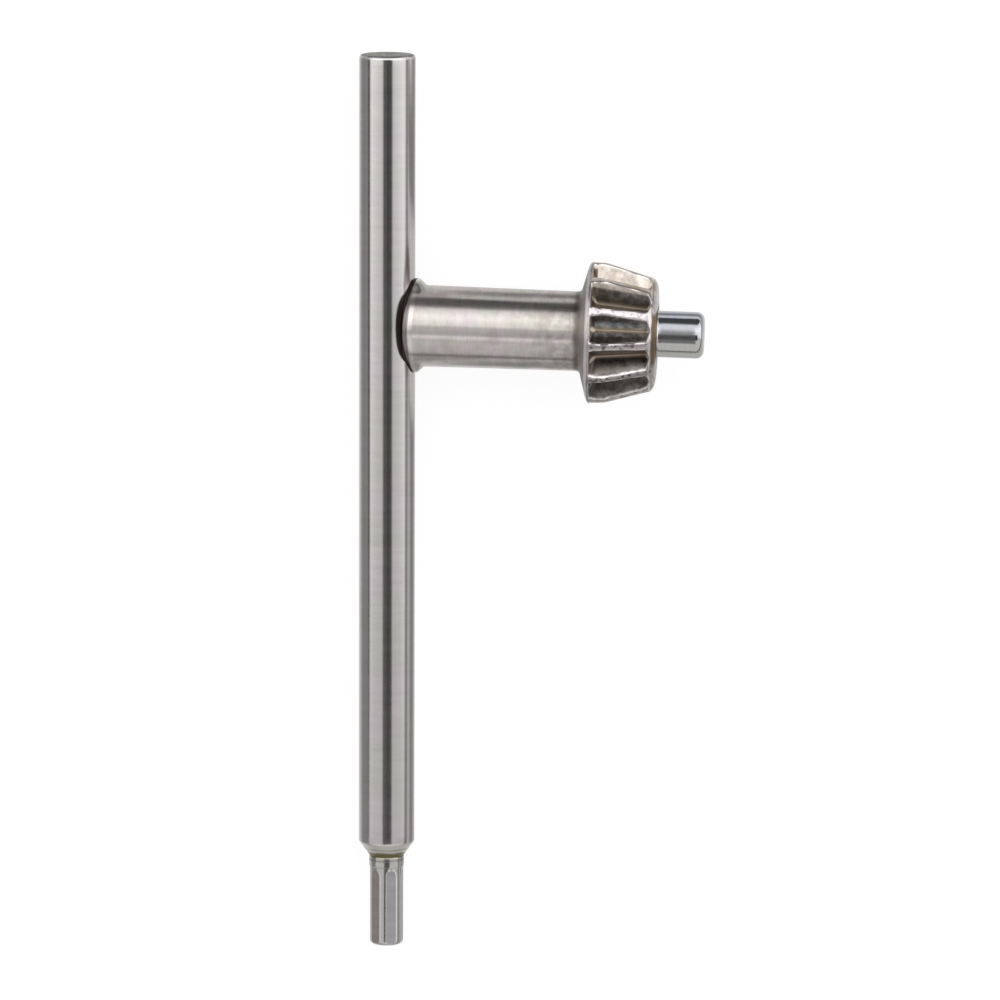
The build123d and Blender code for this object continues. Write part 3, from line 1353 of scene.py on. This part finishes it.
        # Painted reflection on the flanks in one band across the pinion, and painted shade in two others.
        flank_reflection_mask = maker.ramp(y, *self.flank_reflection_start) * maker.fall(y, *self.flank_reflection_end)
        flank = maker.blend(flank_reflection_mask * self.flank_reflection_share, flank, self.flank_reflection)
        dark = maker.ramp(y, *self.flank_shade_start) * maker.fall(y, *self.flank_shade_end, self.flank_shade_share)
        dark = dark + maker.ramp(y, *self.low_flank_shade_start, 0.0, self.low_flank_shade_share)
        uneven = (0.6 + mottle * 0.8) * (1.0 - dark)
        flank = self.toned(maker, flank, uneven)
        finish.layer(maker.ramp(depth, *self.flank_edge), flank, self.flank_roughness)
        tan = maker.ramp(y - (z - 25.6) * self.cream_slope, *self.cream_start) * pinion
        cream = maker.blend(stain, *self.creams)
        cream = self.toned(maker, cream, 0.75 + mottle * 0.4)
        finish.layer(tan * self.cream_share, cream, self.cream_roughness)
        wall = maker.ramp(depth, *self.wall_depth) * maker.ramp(z, *self.wall_end)
        finish.coat(wall, self.wall)
        # Painted highlight along each valley root.
        finish.coat(maker.ramp(root, *self.root_highlight_edge), self.root_highlight_line)
        rubbed = maker.effect(self.effects.worn, spot=spot, mask=edge, size=0.35, roughness=0.9, seed=16.0)
        finish.coat(rubbed, self.rubbed)


@dataclass(frozen=True)
class Viewpoint:
    """The camera above the key, tilted over towards its plain end and away from the pin."""

    distance: float = 0.8125
    lens: float = 234.0
    sensor: float = 36.0
    towards_pin: float = math.radians(-5.5)
    towards_plain_end: float = math.radians(8.25)
    joint_right: float = -0.0141
    joint_up: float = 0.02196
    roll: float = math.radians(0.22)
    seen: Span = (0.01, 20.0)

    def axes(self, pose: KeyPose) -> tuple[Vector, Vector, Vector]:
        """The picture's own directions, with the bar upright in it.

        Args:
            pose: where the key lies.

        Returns:
            Right, up, and back towards the camera.
        """
        back = Vector((math.tan(self.towards_pin), math.tan(self.towards_plain_end), 1.0)).normalized()
        upward = -pose.tip
        up = (upward - back * upward.dot(back)).normalized()
        up.rotate(Quaternion(back, self.roll))
        return up.cross(back), up, back

    def build(self, pose: KeyPose) -> None:
        """Makes the scene's camera.

        Args:
            pose: where the key lies.
        """
        right, up, back = self.axes(pose)
        centre = pose.crossing - right * self.joint_right - up * self.joint_up
        lens = bpy.data.cameras.new("view_camera")
        lens.lens = self.lens
        lens.sensor_width = self.sensor
        lens.clip_start, lens.clip_end = self.seen
        camera = add_object("view_camera", lens)
        turn = Matrix((right, up, back)).transposed().to_4x4()
        camera.matrix_world = Matrix.Translation(centre + back * self.distance) @ turn
        bpy.context.scene.camera = camera


@dataclass(frozen=True)
class Studio:
    """The white table and the soft lights round it, whose shapes the polished steel shows.

    The sides and heights of a light are angles in degrees from the camera's direction. The parts and
    sides of the table are distances in millimetres from the place where the key's axes cross.
    """

    floor_size: float = 3.0
    floor_drop: float = 0.00002
    floor_white: float = 0.86
    shadow_share: float = 0.16
    floor_glow: float = 0.9
    side_start: Span = (80.0, 84.0)
    side_light: float = 0.25
    card_sides: Span = (-77.0, -73.0)
    card_heights: Span = (-12.9, -12.3)
    stand_sides: Span = (-10.0, -2.5)
    stand_heights: Span = (-46.0, 75.0)
    stand_edge: float = 0.7
    camera_sides: Span = (-16.6, 22.0)
    camera_heights: Span = (-28.0, -1.0)
    soft_edge: float = 1.5
    stand_shown: float = 0.8
    mirrored: float = 0.05
    near_light: float = 0.70
    far_light: float = 0.30
    upper_light: float = 0.80
    lower_light: float = 0.60
    end_light: float = 0.1
    near_bar: Span = (5.0, 11.0)
    near_body: Span = (10.0, 16.0)
    body_side: Span = (0.0, 5.0)
    upper_part: Span = (22.0, 36.0)
    upper_side: Span = (8.0, 25.0)
    lower_part: Span = (-10.0, -20.0)
    lower_side: Span = (12.0, 40.0)
    end_part: Span = (90.0, 130.0)

    DOME: ClassVar[Lights] = (
        (-90.0, 0.62), (-70.0, 0.64), (-50.0, 0.66), (-32.0, 0.70), (-20.0, 0.60), (-17.0, 0.56),
        (-16.3, 0.60), (-15.2, 0.68), (-13.8, 0.74), (-13.1, 0.78), (-12.4, 0.88), (-11.4, 1.04),
        (-10.3, 1.20), (-4.0, 1.25), (8.0, 1.25), (19.0, 1.50), (26.0, 1.50), (36.0, 1.20),
        (46.0, 0.95), (50.0, 0.55), (54.0, 0.02), (90.0, 0.02),
    )
    STAND: ClassVar[Lights] = (
        (-41.0, 0.06), (-30.0, 0.08), (-20.0, 0.08), (-15.0, 0.06), (-9.0, 0.07), (-3.0, 0.16),
        (8.0, 0.25), (13.0, 0.30), (17.0, 0.47), (21.0, 0.68), (26.0, 0.85), (36.0, 1.00),
        (44.0, 1.06), (48.0, 0.95), (53.0, 0.50), (57.0, 0.03),
    )

    @staticmethod
    def gradient(maker: TreeMaker, table: Lights, height: Term) -> Term:
        """A light that changes with its height.

        Args:
            maker: the world's maker.
            table: the light at each height in degrees.
            height: the ray's height in degrees.

        Returns:
            The light.
        """
        peak = max(light for _, light in table)
        ramp = maker.node("ShaderNodeValToRGB", {"Fac": height / 180.0 + 0.5})
        stops = ramp.color_ramp.elements
        for place, (degrees, light) in enumerate(table):
            stop = stops[place] if place < 2 else stops.new(1.0)
            stop.position = degrees / 180.0 + 0.5
            stop.color = (light / peak, light / peak, light / peak, 1.0)
        return maker.math("MULTIPLY", ramp.outputs[0], peak)

    @staticmethod
    def rays(maker: TreeMaker) -> tuple[Term, Term, Term]:
        """Masks for rays from the camera, off gloss and through glass.

        Args:
            maker: the maker of the material or world.

        Returns:
            The three masks.
        """
        path = maker.node("ShaderNodeLightPath")
        names = ("Is Camera Ray", "Is Glossy Ray", "Is Transmission Ray")
        return tuple(Term(maker, path.outputs[name]) for name in names)

    def world(self, axes: tuple[Vector, Vector, Vector]) -> None:
        """Builds the lights as one procedural sky: a bright dome, a dark card, a dark camera and its stand.

        Args:
            axes: right, up and back in the picture, from which the lights' places are measured.
        """
        world = bpy.data.worlds.new("studio_light")
        maker = TreeMaker.fresh(world)
        ray = maker.term("ShaderNodeTexCoord", None, "Generated")

        def share(axis: Vector) -> Term:
            """How far the ray goes along one of the picture's directions."""
            feeds = {0: ray, 1: tuple(axis)}
            return maker.term("ShaderNodeVectorMath", feeds, "Value", operation="DOT_PRODUCT")

        right, up, back = (share(axis) for axis in axes)
        sideways = maker.math("DEGREES", maker.math("ARCTAN2", right, back))
        up = maker.math("MINIMUM", maker.math("MAXIMUM", up, -1.0), 1.0)
        height = maker.math("DEGREES", maker.math("ARCSINE", up))
        dome = self.gradient(maker, self.DOME, height)
        wide = maker.math("ABSOLUTE", sideways)
        dome = dome * maker.ramp(wide, *self.side_start, 1.0, self.side_light)
        card = maker.fall(sideways, *self.card_sides) * maker.ramp(height, *self.card_heights)
        stand = maker.within(sideways, self.stand_sides, self.stand_edge)
        stand = stand * maker.within(height, self.stand_heights, self.soft_edge)
        camera = maker.within(sideways, self.camera_sides, self.soft_edge)
        camera = camera * maker.within(height, self.camera_heights, self.soft_edge)
        light = dome * (1.0 - card)
        light = light * (1.0 - stand) + stand * self.gradient(maker, self.STAND, height)
        light = light * (1.0 - camera * (1.0 - stand * self.stand_shown))
        studio = maker.node("ShaderNodeBackground", {"Color": light})
        white = maker.node("ShaderNodeBackground", {"Color": (1.0, 1.0, 1.0, 1.0)})
        seen, glossy, passed = self.rays(maker)
        shown = maker.math("MINIMUM", seen + (glossy + passed) * self.mirrored, 1.0)
        mixed = maker.node("ShaderNodeMixShader", {0: shown, 1: studio.outputs[0], 2: white.outputs[0]})
        maker.node("ShaderNodeOutputWorld", {"Surface": mixed.outputs[0]})
        bpy.context.scene.world = world

    def floor_material(self, pose: KeyPose) -> bpy.types.Material:
        """Builds the table's white, which keeps the key's soft shadow.

        In the steel it looks darker, and most of all far from the key.

        Args:
            pose: where the key lies.

        Returns:
            The material.
        """
        material = bpy.data.materials.new("table_white")
        maker = TreeMaker.fresh(material)
        camera, glossy, passed = self.rays(maker)
        x, y, _ = maker.parts(maker.term("ShaderNodeTexCoord", None, "Object"))
        across = (x - pose.crossing.x) / MILLIMETRE
        slope = pose.pin.y / pose.pin.x
        beyond = (y - pose.crossing.y - (x - pose.crossing.x) * slope) / MILLIMETRE
        near_bar = maker.fall(maker.math("ABSOLUTE", across), *self.near_bar)
        near_body = maker.fall(maker.math("ABSOLUTE", beyond), *self.near_body)
        near_body = near_body * maker.ramp(across, *self.body_side)
        near = maker.math("MAXIMUM", near_bar, near_body)
        share = maker.between(near, self.far_light, self.near_light)
        upper = maker.ramp(beyond, *self.upper_part) * maker.ramp(across, *self.upper_side)
        share = maker.between(upper, share, self.upper_light)
        lower = maker.ramp(beyond, *self.lower_part) * maker.ramp(across, *self.lower_side)
        share = maker.between(lower, share, self.lower_light)
        share = share * maker.ramp(beyond, *self.end_part, 1.0, self.end_light)
        shown = maker.between(camera, share, 1.0)
        paint = maker.node("ShaderNodeBsdfDiffuse", {"Color": (self.floor_white,) * 3 + (1.0,)})
        faint = maker.node("ShaderNodeBsdfDiffuse", {"Color": shown * self.shadow_share})
        lit = {"Color": (1.0, 1.0, 1.0, 1.0), "Strength": shown * self.floor_glow}
        glow = maker.node("ShaderNodeEmission", lit)
        white = maker.node("ShaderNodeAddShader", {0: faint.outputs[0], 1: glow.outputs[0]})
        seen = maker.math("MINIMUM", camera + glossy + passed, 1.0)
        mixed = maker.node("ShaderNodeMixShader", {0: seen, 1: paint.outputs[0], 2: white.outputs[0]})
        maker.node("ShaderNodeOutputMaterial", {"Surface": mixed.outputs[0]})
        return material

    def floor(self, pose: KeyPose) -> None:
        """Makes the table.

        Args:
            pose: where the key lies.
        """
        half = self.floor_size / 2
        corners = [(-half, -half), (half, -half), (half, half), (-half, half)]
        mesh = bpy.data.meshes.new("table_top")
        mesh.from_pydata([(x, y, -self.floor_drop) for x, y in corners], [], [(0, 1, 2, 3)])
        mesh.materials.append(self.floor_material(pose))
        table = add_object("table_top", mesh)


def dress(piece: bpy.types.Object, node: Node) -> None:
    """Puts a finished piece in the place of its CAD node.

    Args:
        piece: the finished piece.
        node: the CAD node that it stands for.
    """
    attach(piece, "root")
    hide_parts(node.value)
    LOG.info("%s: %d faces in place of %s", piece.name, len(piece.data.polygons), node.value)


def main() -> None:
    """Builds the key, its lights and its camera in order."""
    logging.basicConfig(level=logging.INFO, format="%(name)s: %(message)s")
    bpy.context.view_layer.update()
    pose = KeyPose.from_mounts(frame["record"]["mounts"])
    effects = Effects()
    bar = CrossBar().build(pose, GroundSteel(effects).material())
    dress(bar, Node.BAR)
    body = KeyBody().build(pose, ForgedSteel(effects).material())
    dress(body, Node.BODY)
    viewpoint = Viewpoint()
    viewpoint.build(pose)
    studio = Studio()
    studio.world(viewpoint.axes(pose))
    studio.floor(pose)
    bpy.context.scene.view_settings.view_transform = "Standard"


if __name__ == "__main__":
    main()
